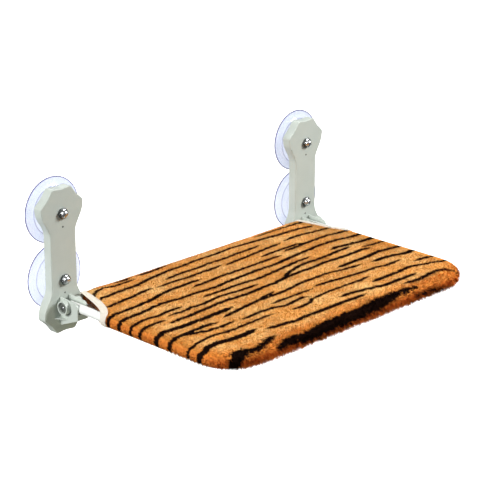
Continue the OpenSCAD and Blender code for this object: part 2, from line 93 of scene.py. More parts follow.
soft_box("key_right", (1.55, -1.85, 1.55), 0.95, 107)
soft_box("rear_top", (0.3, 1.2, 1.6), 1.2, 20)
soft_box("side_left", (-4.8, 0.2, 2.0), 1.6, 330)
soft_box("fill_front", (-1.6, -1.4, 1.5), 0.8, 4)
soft_box("floor_bounce", (-0.05, -0.37, -0.5), 0.3, 1.45, (-0.2325, -0.02, -0.02),
         (1, 0.96, 0.7))


class Value:
    """A number that varies over a surface. Sums on it add Math nodes, and
    plain numbers may stand on either side."""

    def __init__(self, finish, socket):
        self.finish, self.socket = finish, socket

    def math(self, operation, a, b):
        node = self.finish.node("ShaderNodeMath", {"operation": operation}, {0: a, 1: b})
        return Value(self.finish, node.outputs[0])

    def __add__(self, other): return self.math("ADD", self, other)
    def __sub__(self, other): return self.math("SUBTRACT", self, other)
    def __rsub__(self, other): return self.math("SUBTRACT", other, self)
    def __mul__(self, other): return self.math("MULTIPLY", self, other)
    __radd__, __rmul__ = __add__, __mul__


class Finish:
    """A material in the making: one shader, and nodes that vary it."""

    def __init__(self, name, colour, **constants):
        self.material = bpy.data.materials.new(name)
        self.material.use_nodes = True
        self.tree = self.material.node_tree
        self.tree.nodes.clear()
        self.shader = self.node("ShaderNodeBsdfPrincipled")
        self.node("ShaderNodeOutputMaterial", None, {"Surface": self.shader.outputs[0]})
        self.material.diffuse_color = (*linear(colour), 1)
        self.set(Base_Color=(*linear(colour), 1), **constants)

    def node(self, kind, settings=None, inputs=None):
        """Any other node: its type, its settings, then its sockets' values or links."""
        node = self.tree.nodes.new(kind)
        for key, value in (settings or {}).items():
            setattr(node, key, value)
        for key, value in (inputs or {}).items():
            self.feed(node.inputs[key], value)
        return node

    def feed(self, socket, value):
        """Links a socket to a varying value, or sets it to a plain one."""
        if isinstance(value, Value):
            value = value.socket
        if isinstance(value, bpy.types.NodeSocket):
            self.tree.links.new(value, socket)
        else:
            socket.default_value = value

    def set(self, **sockets):
        """Feeds the shader's sockets, whose names are given with underscores."""
        for key, value in sockets.items():
            self.feed(self.shader.inputs[key.replace("_", " ")], value)

    def noise(self, scale, detail, stretch=(1, 1, 1)):
        """Noise on Object coordinates in metres, stretched along each axis."""
        spot = self.node("ShaderNodeMapping", None, {
            "Vector": self.node("ShaderNodeTexCoord").outputs["Object"], "Scale": stretch})
        return Value(self, self.node("ShaderNodeTexNoise", None, {
            "Vector": spot.outputs[0], "Scale": scale, "Detail": detail}).outputs[0])

    def attribute(self, name, output=2):
        """A number kept on the points of a piece, or with output 0 its colour."""
        return Value(self, self.node("ShaderNodeAttribute",
                                     {"attribute_name": name}).outputs[output])

    def blend(self, share, low, high):
        """A colour from one sRGB triple to another."""
        return self.node("ShaderNodeMix", {"data_type": "RGBA"}, {
            0: share, 6: (*linear(low), 1), 7: (*linear(high), 1)}).outputs[2]

    def bumped(self, height, depth_mm):
        """Fine relief, its depth in millimetres."""
        self.set(Normal=self.node("ShaderNodeBump", None, {
            "Strength": 1.0, "Distance": depth_mm / 1000, "Height": height}).outputs[0])


def mottled(name, low, high, scale, detail=2, rough=(0.5, 0), relief=0,
            stretch=(1, 1, 1), **constants):
    """A finish whose colour, roughness (a value and what is added to it) and
    relief in millimetres all follow one noise."""
    finish = Finish(name, low, Roughness=rough[0], **constants)
    grain = finish.noise(scale, detail, stretch)
    finish.set(Base_Color=finish.blend(grain, low, high))
    if rough[1]:
        finish.set(Roughness=rough[0] + rough[1] * grain)
    if relief:
        finish.bumped(grain, relief)
    return finish


def linear(colour):
    """An sRGB colour of 0 to 255 as the linear light that the shader takes."""
    c = np.asarray(colour, float) / 255
    return tuple(np.where(c <= 0.04045, c / 12.92, ((c + 0.055) / 1.055) ** 2.4))


sweep_half, sweep_height = 30, -0.75
sweep_paint = Finish("sweep_paper", (252, 252, 252), Roughness=0.9,
                     Emission_Color=(1, 1, 1, 1), Emission_Strength=1.0)
sweep = bpy.data.meshes.new("sweep")
sweep.from_pydata([(sx * sweep_half, sy * sweep_half, sweep_height)
                   for sx, sy in ((-1, -1), (1, -1), (1, 1), (-1, 1))], [], [(0, 1, 2, 3)])
sweep.materials.append(sweep_paint.material)
sweep = placed("sweep", sweep)
sweep.visible_diffuse = sweep.visible_glossy = False

# Brackets: moulded plastic shells with scalloped ends, open at the back, with
# ribs and stud bosses inside and a hinge block that stands out below.
sides = ("left", 1), ("right", -1)
bracket_x, lower_stud_z, upper_stud_z = 232.5, 33.0, 124.0
lower_end_z, upper_end_z = -5.5, 124.0
back_y, face_y, pivot_y = -8.1, -21.6, -34.5
lobe_reach, lobe_dip, lobe_pitch, lobe_blunt, scallop_end = 37.2, 4.0, 48.0, 0.17, 80.0
waist, shell_wall, face_wall, face_round = 43.0, 2.6, 3.0, 1.4
hinge_shift = 0.5
cheek_out, cheek_in = 8.7, 6.5
block_length, block_heel, block_toe = 35.2, 28.8, 14.3
block_rise, block_end_rise, block_round = 10.5, 9.0, 6.75
block_floor = -6.3
knuckle, outer_knuckle, inner_knuckle = 9.5, 7.5, 5.0
boss_radius, neck_bore, neck_depth, stud_bore = 13, 10.05, 5.95, 4.4
rib_start, rib_pitch, pit_drop, pit_radius = 11.7, 18.2, 18.5, 1.3


def bracket_outline(inset):
    """Closed outline of a bracket seen from the room. Each end has a radius of
    reach less a dip times the size of the cosine of half its lobe angle, which
    peaks in a corner between two hollows and is blunted a little, up to 80
    degrees from its middle. Half a cosine wave eases it into the waist."""
    a = np.linspace(0, scallop_end, 61)
    wave = np.hypot(np.cos(np.radians(180 * a / lobe_pitch)), lobe_blunt) - lobe_blunt
    r = lobe_reach - inset - lobe_dip * wave / (np.hypot(1, lobe_blunt) - lobe_blunt)
    lobe = np.stack([r * np.sin(np.radians(a)), r * np.cos(np.radians(a))], 1)
    x0, z0 = lobe[-1]
    x1 = waist / 2 - inset
    z1 = -lobe_reach * (0.965 - np.cos(np.radians(scallop_end)))
    t = np.linspace(0, 1, 20)[1:]
    flare = np.stack([x1 + (x0 - x1) * (1 + np.cos(np.pi * t)) / 2, z0 + (z1 - z0) * t], 1)
    half = np.concatenate([lobe, flare])
    up = half + (0, upper_end_z)
    low = half * (1, -1) + (0, lower_end_z)
    return np.concatenate([up, low[::-1], (low * (-1, 1))[1:], (up * (-1, 1))[::-1][:-1]])


def to_spine(outline, share):
    """An outline drawn in towards the upright line between its two ends."""
    spine = np.stack([np.zeros(len(outline)),
                      np.clip(outline[:, 1], lower_end_z, upper_end_z)], 1)
    return spine + (outline - spine) * share


def at_depth(outline, y):
    """An outline stood up at a depth y."""
    return np.stack([outline[:, 0], np.full(len(outline), float(y)), outline[:, 1]], 1)


def wrapped_faces(rows, columns, close_rows=False):
    """Four-sided faces of a grid whose columns run round and meet."""
    i = np.arange(rows if close_rows else rows - 1)[:, None]
    j = np.arange(columns)[None, :]
    a, b = i % rows * columns, (i + 1) % rows * columns
    k = (j + 1) % columns
    return np.stack([a + j, a + k, b + k, b + j], 2).reshape(-1, 4)


def ring_form(rings, close_rows=False):
    """Rings of equally many points, joined into a skin."""
    rings = np.asarray(rings)
    return rings.reshape(-1, 3), wrapped_faces(len(rings), rings.shape[1], close_rows)


def bracket_shell():
    """Rings of the outline carried from the middle of the face, over its
    rounded edge, down the side, round the back edge and up the inside."""
    rings = [at_depth(to_spine(bracket_outline(face_round), f), face_y)
             for f in (0, 0.3, 0.6, 0.85, 0.97)]
    for a in np.radians(np.linspace(0, 90, 7)):
        rings.append(at_depth(bracket_outline(face_round * (1 - np.sin(a))),
                              face_y + face_round * (1 - np.cos(a))))
    inner = face_y + face_wall
    rings += [at_depth(bracket_outline(inset), y) for inset, y in (
        (0, (face_y + back_y) / 2), (0, back_y), (shell_wall, back_y),
        (shell_wall, (inner + back_y) / 2), (shell_wall, inner + 0.8),
        (shell_wall + 0.8, inner))]
    rings += [at_depth(to_spine(bracket_outline(shell_wall + 0.8), f), inner) for f in (0.5, 0)]
    return ring_form(rings)


def turned_form(profile, radius_share=1.0, steps=48, z=None):
    """A closed half section of (place, radius) turned about the X axis, or at a
    height z about the line there along Y. The share scales every radius, and
    may itself be an array over the turn."""
    profile = np.asarray(profile, float)
    turn = np.arange(steps) * 2 * np.pi / steps
    radius = profile[:, 1][:, None] * np.ones(steps) * radius_share
    place = np.broadcast_to(profile[:, 0][:, None], radius.shape)
    c, s = radius * np.cos(turn), radius * np.sin(turn)
    return ring_form(np.stack((place, c, s) if z is None else (s, place, c + z), 2), True)


def box_form(low, high):
    """A block between two corners."""
    low, high = np.asarray(low, float), np.asarray(high, float)
    pick = np.array([[0, 0, 0], [1, 0, 0], [1, 1, 0], [0, 1, 0],
                     [0, 0, 1], [1, 0, 1], [1, 1, 1], [0, 1, 1]])
    faces = np.array([[3, 2, 1, 0], [4, 5, 6, 7], [0, 1, 5, 4],
                      [1, 2, 6, 5], [2, 3, 7, 6], [3, 0, 4, 7]])
    return low + (high - low) * pick, faces


def hinge_block():
    """A channel section carried out from the face: its foot rises in a straight
    line to the toe, and its cheeks fall to a quarter round at the free end."""
    straight = block_length - block_round
    bend = np.radians(np.linspace(0, 90, 10))
    out = np.concatenate([[-1.5, straight / 2], straight + block_round * np.sin(bend)])
    top = np.where(out <= straight,
                   block_rise + (block_end_rise - block_rise) * out / straight, 0.0)
    top[2:] = block_end_rise - block_round + block_round * np.cos(bend)
    foot = -block_heel + (block_heel - block_toe) * out / block_length
    section = [(-cheek_out, top), (-cheek_out, foot), (cheek_out, foot), (cheek_out, top),
               (cheek_in, top), (cheek_in, block_floor), (-cheek_in, block_floor),
               (-cheek_in, top)]
    points = np.stack([np.stack([np.full(len(out), x), face_y - out,
                                 np.broadcast_to(z, out.shape)], 1)
                       for x, z in section], 1)
    n = len(out)
    faces = [tuple(f) for f in wrapped_faces(n, 8)]
    faces += [(0, 1, 6, 7), (1, 2, 5, 6), (2, 3, 4, 5)]
    end = (n - 1) * 8
    faces += [(end + 7, end + 6, end + 1, end), (end + 6, end + 5, end + 2, end + 1),
              (end + 5, end + 4, end + 3, end + 2)]
    return points.reshape(-1, 3), faces


def hinge_knuckles():
    """Round bosses on both cheeks. The outer has a round recess for the bolt's
    head, the inner a six-sided pocket for the nut."""
    bolt, pocket, mouth, recess, web = 2.9, 6.0, 7.8, 3.3, 1.6
    outer = turned_form([(-cheek_out + 1, knuckle), (-cheek_out - outer_knuckle, knuckle),
                         (-cheek_out - outer_knuckle, mouth), (-cheek_out - recess, mouth - 0.3),
                         (-cheek_out - recess, bolt), (-cheek_out + 1, bolt)])
    turn = np.arange(48) * 2 * np.pi / 48
    hexagon = np.cos(np.pi / 6) / np.cos((turn + np.pi / 6) % (np.pi / 3) - np.pi / 6)
    share = np.ones((6, 48))
    share[2:4] = hexagon
    inner = turned_form([(cheek_out - 1, knuckle), (cheek_out + inner_knuckle, knuckle),
                         (cheek_out + inner_knuckle, pocket), (cheek_out + web, pocket),
                         (cheek_out + web, bolt), (cheek_out - 1, bolt)], share)
    return [(p + (0, pivot_y, 0), f) for p, f in (outer, inner)]


def joined(forms):
    """Several forms as one list of points and one of faces."""
    points, faces, base = [], [], 0
    for p, f in forms:
        points.append(np.asarray(p, float))
        faces += [tuple(int(i) + base for i in q) for q in f]
        base += len(p)
    return np.concatenate(points), faces


def welded(mesh, reach):
    """Joins the points that meet within a reach and turns the faces one way."""
    work = bmesh.new()
    work.from_mesh(mesh)
    bmesh.ops.remove_doubles(work, verts=work.verts, dist=reach)
    bmesh.ops.dissolve_degenerate(work, edges=work.edges, dist=1e-7)
    bmesh.ops.recalc_face_normals(work, faces=work.faces)
    work.to_mesh(mesh)
    work.free()


def solid_piece(name, points, faces, body, finish, replaces=(), bevel=0.0, weld=True):
    """Puts a form given in millimetres into the scene as a finished piece: welded,
    faces outwards, smooth, with its hard edges eased where a bevel is given."""
    mesh = bpy.data.meshes.new(name)
    mesh.from_pydata((np.asarray(points) / 1000).tolist(), [],
                     [tuple(int(i) for i in f) for f in faces])
    if weld:
        welded(mesh, 1e-6)
    mesh.polygons.foreach_set("use_smooth", np.ones(len(mesh.polygons), bool))
    mesh.materials.append(finish.material)
    obj = placed(name, mesh)
    if bevel:
        ease = obj.modifiers.new("eased_edges", "BEVEL")
        ease.width, ease.segments = bevel / 1000, 3
        ease.limit_method, ease.angle_limit = "ANGLE", np.radians(38)
        obj.modifiers.new("even_faces", "WEIGHTED_NORMAL").keep_sharp = True
    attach(obj, body)
    if replaces:
        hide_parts(*replaces)
    return obj


def stud_boss(z):
    """A boss round a stud, bored out behind for the neck of the cup."""
    return turned_form(
        [(back_y, boss_radius), (back_y, neck_bore), (back_y - neck_depth, neck_bore),
         (back_y - neck_depth, stud_bore), (face_y + 1.5, stud_bore),
         (face_y + 1.5, boss_radius)], z=z)


def bracket_ribs():
    """Upright and level ribs in the hollow back, from boss to boss."""
    front, half = face_y + 1.5, 0.9
    forms = [box_form((-half, front, lower_stud_z + rib_start),
                      (half, back_y, upper_stud_z - rib_start)),
             box_form((-half, front, lower_end_z - lobe_reach + lobe_dip + shell_wall / 2),
                      (half, back_y, lower_stud_z - rib_start))]
    for k in (-1, 0, 1):
        z = (lower_stud_z + upper_stud_z) / 2 + k * rib_pitch
        forms.append(box_form((-waist / 2 + 1.3, front, z - half),
                              (waist / 2 - 1.3, back_y, z + half)))
    return forms


def gusset():
    """A thin three-cornered web under the outer side of the hinge block."""
    z, thick = -block_heel * 0.64, 1.6
    flat = np.array([(-cheek_out + 1, 1.0), (-cheek_out - 9.5, 1.0), (-cheek_out + 1, -16.0)])
    low = np.column_stack([flat[:, 0], face_y + flat[:, 1], np.full(3, z)])
    faces = [(0, 1, 2), (5, 4, 3), (0, 3, 4, 1), (1, 4, 5, 2), (2, 5, 3, 0)]
    return np.concatenate([low, low + (0, 0, thick)]), faces


bracket_plastic = Finish("bracket_plastic", (178, 185, 176), Roughness=0.42,
                         Specular_IOR_Level=0.45)
mottle = bracket_plastic.noise(60, 3)
grain = bracket_plastic.noise(1400, 2)
bracket_plastic.set(
    Base_Color=bracket_plastic.blend(mottle, (173, 181, 173), (183, 190, 182)),
    Roughness=0.36 + 0.14 * grain)
bracket_plastic.bumped(grain + 0.6 * mottle, 0.05)

for side, s in sides:
    hinge = [(p + (-hinge_shift, 0, 0), f)
             for p, f in [hinge_block(), *hinge_knuckles(), gusset()]]
    points, faces = joined([bracket_shell(), stud_boss(lower_stud_z),
                            stud_boss(upper_stud_z), *bracket_ribs(), *hinge])
    points = points * (s, 1, 1) + (-s * bracket_x, 0, 0)
    solid_piece(f"{side}_bracket_moulding", points, faces, "brackets",
                bracket_plastic, [f"{side}_bracket"], bevel=0.7)

# Face dimples: a small round pit in the face between each stud and the waist, drawn
# as a dark dish a hair proud of the face, whose near black is painted shade for the pit.
pit_shade = mottled("pit_shade", (46, 48, 43), (74, 76, 68), 900, rough=(0.7, 0))


def face_pit(z):
    """A shallow dish that stands a hair proud of the face."""
    return turned_form([(face_y - 0.05, 0.0), (face_y - 0.12, pit_radius),
                        (face_y + 0.4, pit_radius), (face_y + 0.4, 0.0)], steps=24, z=z)


for side, s in sides:
    points, faces = joined([face_pit(lower_stud_z - pit_drop), face_pit(upper_stud_z - pit_drop)])
    solid_piece(f"{side}_face_dimples", points + (-s * bracket_x, 0, 0), faces, "brackets",
                pit_shade)

# Suction cups: clear soft PVC, moulded with a raised ring and a flat crown,
# whose neck stands in the bracket's boss and holds the stud. The section gives
# radius and distance from the glass, from the hollow over the lip to the neck.
cup_section = [(0.0, 5.8), (10, 5.6), (18.9, 5.0), (25, 3.7), (32.4, 1.9), (39, 0.55),
               (43.7, 0.0), (44.2, 0.0), (45.0, 0.0), (45.0, 0.9), (44.2, 1.05), (43.7, 1.13),
               (41.5, 1.5), (37.5, 2.55), (34.8, 3.7), (34.2, 4.2), (33.8, 4.6),
               (33.0, 4.86), (32.4, 4.86), (31.8, 5.0), (30.5, 5.3), (25.4, 6.5),
               (24.6, 7.6), (24.3, 8.1),
               (10.0, 8.1), (10.0, 14.0), (4.0, 14.0), (4.0, 10.0), (0.0, 10.0)]
lip_radius, step_radius = 44.1, 33.4

clear_pvc = Finish("clear_pvc", (246, 249, 253), Roughness=0.12, IOR=1.42,
                   Transmission_Weight=0.86, Coat_Weight=0.2)
# The faint blue of the PVC is deepened to dark blue on the lip, and to grey blue on a line at the
# step ring: painted shade for the dark edges that the clear plastic shows there.
painted_edge_shade = clear_pvc.attribute("rim")
haze = clear_pvc.noise(90, 2)
clear_pvc.set(Base_Color=clear_pvc.blend(painted_edge_shade, (207, 214, 232), (38, 32, 120)),
              Roughness=0.06 + 0.1 * haze)


def read_rows(items, name):
    """Three numbers of each item, one row each."""
    values = np.zeros(len(items) * 3)
    items.foreach_get(name, values)
    return values.reshape(-1, 3)


def keep_share(obj, name, share):
    """Keeps a number on each point of a piece for its finish to read."""
    obj.data.attributes.new(name, "FLOAT", "POINT").data.foreach_set(
        "value", share.astype(np.float32))


def from_stud(obj, s, z):
    """Distance in millimetres of each point of a piece from a stud's axis."""
    co = read_rows(obj.data.vertices, "co") * 1000
    return np.hypot(co[:, 0] + s * bracket_x, co[:, 2] - z)


for side, s in sides:
    for level, z in (("lower", lower_stud_z), ("upper", upper_stud_z)):
        points, faces = turned_form([(-y, radius) for radius, y in cup_section], steps=96, z=z)
        obj = solid_piece(f"{side}_{level}_clear_cup", points + (-s * bracket_x, 0, 0), faces,
                          "brackets", clear_pvc, [f"{side}_{level}_cup"], bevel=0.25)
        r = from_stud(obj, s, z)
        # Marks the lip and the step ring for their painted edge shade.
        keep_share(obj, "rim", np.maximum(r > lip_radius, 0.6 * (np.abs(r - step_radius) < 0.5)))

# Studs and cap nuts: zinc plated steel studs held in the cups, and bright
# plated cap nuts screwed down on the brackets' faces.
nut_flats, nut_hex, nut_dome, dome_radius = 13.0, 4.0, 4.4, 5.3


def cap_nut(z):
    """A six-sided base whose corners are cut by a cone above and below, and a
    dome of a quarter ellipse over it. The radius is the least of the hexagon
    and the cone at each height."""
    turn = np.arange(144) * 2 * np.pi / 144
    hexagon = nut_flats / 2 / np.cos((turn + np.pi / 6) % (np.pi / 3) - np.pi / 6)
    rise = np.concatenate([[0, 0.25, 0.5, 0.8], np.linspace(1.2, nut_hex - 0.9, 4),
                           np.linspace(nut_hex - 0.75, nut_hex, 6)])
    cone = np.minimum(6.9 + 1.6 * rise, 6.35 + 1.7 * (nut_hex - rise))
    base = np.minimum(hexagon[None, :], cone[:, None])
    a = np.radians(np.linspace(0, 90, 16))
    dome = np.broadcast_to((dome_radius * np.cos(a))[:, None], (16, 144))
    radius = np.concatenate([np.zeros((1, 144)), base, dome])
    height = np.concatenate([[0], rise, nut_hex + nut_dome * np.sin(a)])[:, None]
    return ring_form(np.stack([radius * np.sin(turn),
                               face_y - np.broadcast_to(height, radius.shape),
                               z + radius * np.cos(turn)], 2))


nut_chrome = Finish("nut_chrome", (196, 199, 202), Metallic=1.0, Roughness=0.16)
streaks = nut_chrome.noise(1, 3, (300, 1500, 300))
hex_shade = nut_chrome.attribute("hex_shade")
# The six-sided base is painted darker than the dome: painted shade and reflection on one chrome.
nut_chrome.set(Base_Color=nut_chrome.blend(0.25 * streaks + 0.75 * hex_shade, (226, 228, 230),
                                           (84, 86, 88)),
               Roughness=0.2 + 0.12 * streaks)

zinc_steel = mottled("zinc_steel", (164, 168, 174), (214, 216, 218), 500, 3, (0.22, 0.2),
                     0.03, Metallic=1.0)


def refinish(finish, *names):
    """Gives CAD nodes whose shape is right a finish of their own."""
    for name in names:
        mesh = nodes[name].data
        mesh.materials.clear()
        mesh.materials.append(finish.material)


for side, s in sides:
    points, faces = joined([cap_nut(lower_stud_z), cap_nut(upper_stud_z)])
    obj = solid_piece(f"{side}_acorn_nuts", points + (-s * bracket_x, 0, 0), faces, "brackets",
                      nut_chrome, [f"{side}_cap_nuts"])
    r = np.minimum(from_stud(obj, s, lower_stud_z), from_stud(obj, s, upper_stud_z))
    # Marks the six-sided base for its painted shade.
    keep_share(obj, "hex_shade", r > dome_radius + 0.3)
    refinish(zinc_steel, f"{side}_cup_studs")

# Hinge bolts: a bolt through each hinge block and tube end, with a dark ring round
# its head as painted shade for a deeper recess, a chrome disc on it as a painted
# highlight, and its nut in the inner boss.
refinish(zinc_steel, "left_pivot_nut", "right_pivot_nut")
dark_steel = mottled("dark_steel", (160, 162, 164), (200, 201, 202), 600, 3, (0.2, 0.16),
                     Metallic=1.0)
refinish(dark_steel, "left_pivot_bolt", "right_pivot_bolt")

# A dark ring in the bolt recess: painted shade for the groove round the head.
washer_shade = mottled("washer_shade", (98, 100, 98), (126, 128, 126), 800)
# A chrome disc proud in the head's socket: a painted highlight at its centre.
painted_glint_disc = [(-cheek_out - 5.2, 0.0), (-cheek_out - 5.2, 2.0),
                 (-cheek_out - 6.3, 2.0), (-cheek_out - 6.7, 0.0)]
washer = [(-cheek_out - 3.2, 3.0), (-cheek_out - 4.1, 3.0),
          (-cheek_out - 4.1, 7.45), (-cheek_out - 3.2, 7.45)]
for side, s in sides:
    for kind, profile, steps, slot, finish in (
            ("washer", washer, 48, "bracket_plastic", washer_shade),
            ("centre", painted_glint_disc, 24, "nut_chrome", nut_chrome)):
        points, faces = turned_form(profile, steps=steps)
        points = (points + (-hinge_shift, pivot_y, 0)) * (s, 1, 1) + (-s * bracket_x, 0, 0)
        solid_piece(f"{side}_bolt_{kind}", points, faces, "brackets", finish)

# Tube frame: white powder coated steel tube. The side tubes turn on the hinge
# bolts, a bent tube joins them at the front and a crossbar behind.
white_coat = Finish("white_powder_coat", (238, 240, 239), Roughness=0.34,
                    Specular_IOR_Level=0.5)
peel = white_coat.noise(420, 2)
smear = white_coat.noise(25, 3)
white_coat.set(Base_Color=white_coat.blend(smear, (215, 218, 215), (228, 230, 226)),
               Roughness=0.28 + 0.14 * peel)
white_coat.bumped(peel, 0.04)
refinish(white_coat, "left_side_tube", "right_side_tube", "front_tube", "rear_crossbar")

plug_plastic = mottled("plug_plastic", (38, 40, 43), (62, 65, 68), 300, 3, (0.42, 0.2), 0.05)
refinish(plug_plastic, "left_tube_plug", "right_tube_plug")
refinish(zinc_steel, "frame_screws")

# Plush cover: short pile plush with tiger stripes, pulled over the frame and
# the foam. It is scooped at the rear corners to clear the hinges.
mat_half, mat_front, mat_rear = 240.3, 333.0, 24.0
edge_round, mat_corner, rear_corner = 7.3, 57.3, 8.0
skirt, tuck, crown_rise, crown_run = 9.4, 5.5, 4.0, 45.0
scoop_width, scoop_length, hem_width = 30.5, 74.0, 10.0
mat_centre = (0.0, -178.0)
arc_length = edge_round * np.pi / 2


def eased(t):
    """Nought to one with level ends."""
    u = np.clip(t, 0, 1)
    return u * u * (3 - 2 * u)


def crown(x, y):
    """Rise of the top: nothing at the sides and the front, full 45 mm in."""
    return (crown_rise * eased((mat_half - np.abs(x)) / crown_run)
            * eased((y + mat_front) / crown_run))


def on_mat(place, way, d, lift=0.0):
    """A point of the mat's skin. The place lies on or inside the line where the
    top starts to turn down, and the way points outwards there. For a distance d
    past the line the skin follows a quarter circle, then goes down the side,
    drawn in towards its lower edge by a quarter ellipse."""
    d = np.maximum(d, 0)
    turn = np.minimum(d, arc_length) / edge_round
    drop = np.maximum(d - arc_length, 0)
    q = np.minimum(drop / skirt, 1)
    out = (edge_round + lift) * np.sin(turn) - tuck * (1 - np.sqrt(1 - q * q))
    x, y = np.moveaxis(place + way * np.asarray(out)[..., None], -1, 0)
    z = (edge_round + lift) * np.cos(turn) - drop
    return np.stack([x, y, z + crown(x, y) * np.cos(turn)], -1)


def scoop_curve(t, inset=0.0):
    """The scooped rear corner from above, on the right side, as a curve of one
    control point that counts 2.4 times: from the rear edge to the side."""
    t = np.asarray(t, float)[..., None]
    p0 = np.array([mat_half - scoop_width - inset, -mat_rear])
    p2 = np.array([mat_half, -mat_rear - scoop_length - inset])
    c = np.array([mat_half - scoop_width * 0.44 - inset,
                  -mat_rear - scoop_length * 0.81 - inset])
    pull = 4.8 * t * (1 - t)
    return (p0 * (1 - t) ** 2 + c * pull + p2 * t ** 2) / ((1 - t) ** 2 + pull + t ** 2)


def scoop_limit(y, inset=0.0):
    """Half the mat's width where a scooped corner, grown by an inset, cuts it at
    a place y, and without end in front of the scoops."""
    curve = scoop_curve(np.linspace(0, 1, 60), inset)[::-1]
    return np.interp(y, curve[:, 1], curve[:, 0], left=1e6, right=curve[-1, 0])


front_turns, rear_turns, across, along, middle = 14, 4, 60, 32, 70


def edge_line(inset):
    """The outline drawn in, from the front left corner round to it again, with
    the outward direction at each point. Its corners keep their count of points
    when they shrink away."""
    hw, yf, yr = mat_half - inset, -mat_front + inset, -mat_rear - inset
    rf, rr = max(mat_corner - inset, 0.0), max(rear_corner - inset, 0.0)
    corners = [(-hw + rf, yf + rf, rf, 180, front_turns), (hw - rf, yf + rf, rf, 270, front_turns),
               (hw - rr, yr - rr, rr, 0, rear_turns), (-hw + rr, yr - rr, rr, 90, rear_turns)]
    points, normals = [], []
    for k, (cx, cy, r, a0, turns) in enumerate(corners):
        a = np.radians(a0 + 90 * np.arange(turns + 1) / turns)
        out = np.stack([np.cos(a), np.sin(a)], 1)
        arc = (cx, cy) + r * out
        nx, ny, nr, na, _ = corners[(k + 1) % 4]
        start = np.array([nx + nr * np.cos(np.radians(na)), ny + nr * np.sin(np.radians(na))])
        count = (across, along)[k % 2]
        t = np.arange(1, count)[:, None] / count
        points += [arc, arc[-1] + (start - arc[-1]) * t]
        normals += [out, np.repeat(out[-1:], count - 1, 0)]
    return np.concatenate(points), np.concatenate(normals)


def on_top(inset):
    """The skin over the outline drawn in so far that it lies on the top."""
    place, _ = edge_line(inset)
    return on_mat(place, 0 * place, 0.0)


def mat_rings():
    """The whole skin as rings: up the side, over the edge and in to 70 mm, then
    the middle as a plain grid. Returns points, faces and each point's place on
    the skin rolled out flat, with its distance down the side."""
    rim, out = edge_line(edge_round)
    rings, flats = [], []
    for d in (*np.linspace(arc_length + skirt, arc_length, 4), *np.linspace(arc_length, 0, 6)[1:]):
        rings.append(on_mat(rim, out, d))
        flats.append(np.column_stack([rim + out * d, np.full(len(rim), d)]))
    for inset in range(14, middle + 1, 7):
        rings.append(on_top(inset))
        flats.append(rings[-1] * (1, 1, 0))
    faces = wrapped_faces(len(rings), len(rim))
    hw, yf, yr = mat_half - middle, -mat_front + middle, -mat_rear - middle
    gx, gy = np.meshgrid(np.linspace(-hw, hw, across + 1), np.linspace(yf, yr, along + 1))
    plan = np.stack([gx.ravel(), gy.ravel()], 1)
    rings.append(on_mat(plan, 0 * plan, 0.0))
    flats.append(rings[-1] * (1, 1, 0))
    i, j = np.meshgrid(np.arange(along), np.arange(across), indexing="ij")
    a = (i * (across + 1) + j).ravel() + faces.max() + 1
    inner = np.stack([a, a + 1, a + across + 2, a + across + 1], 1)
    return np.concatenate(rings), np.concatenate([faces[:, ::-1], inner]), np.concatenate(flats)
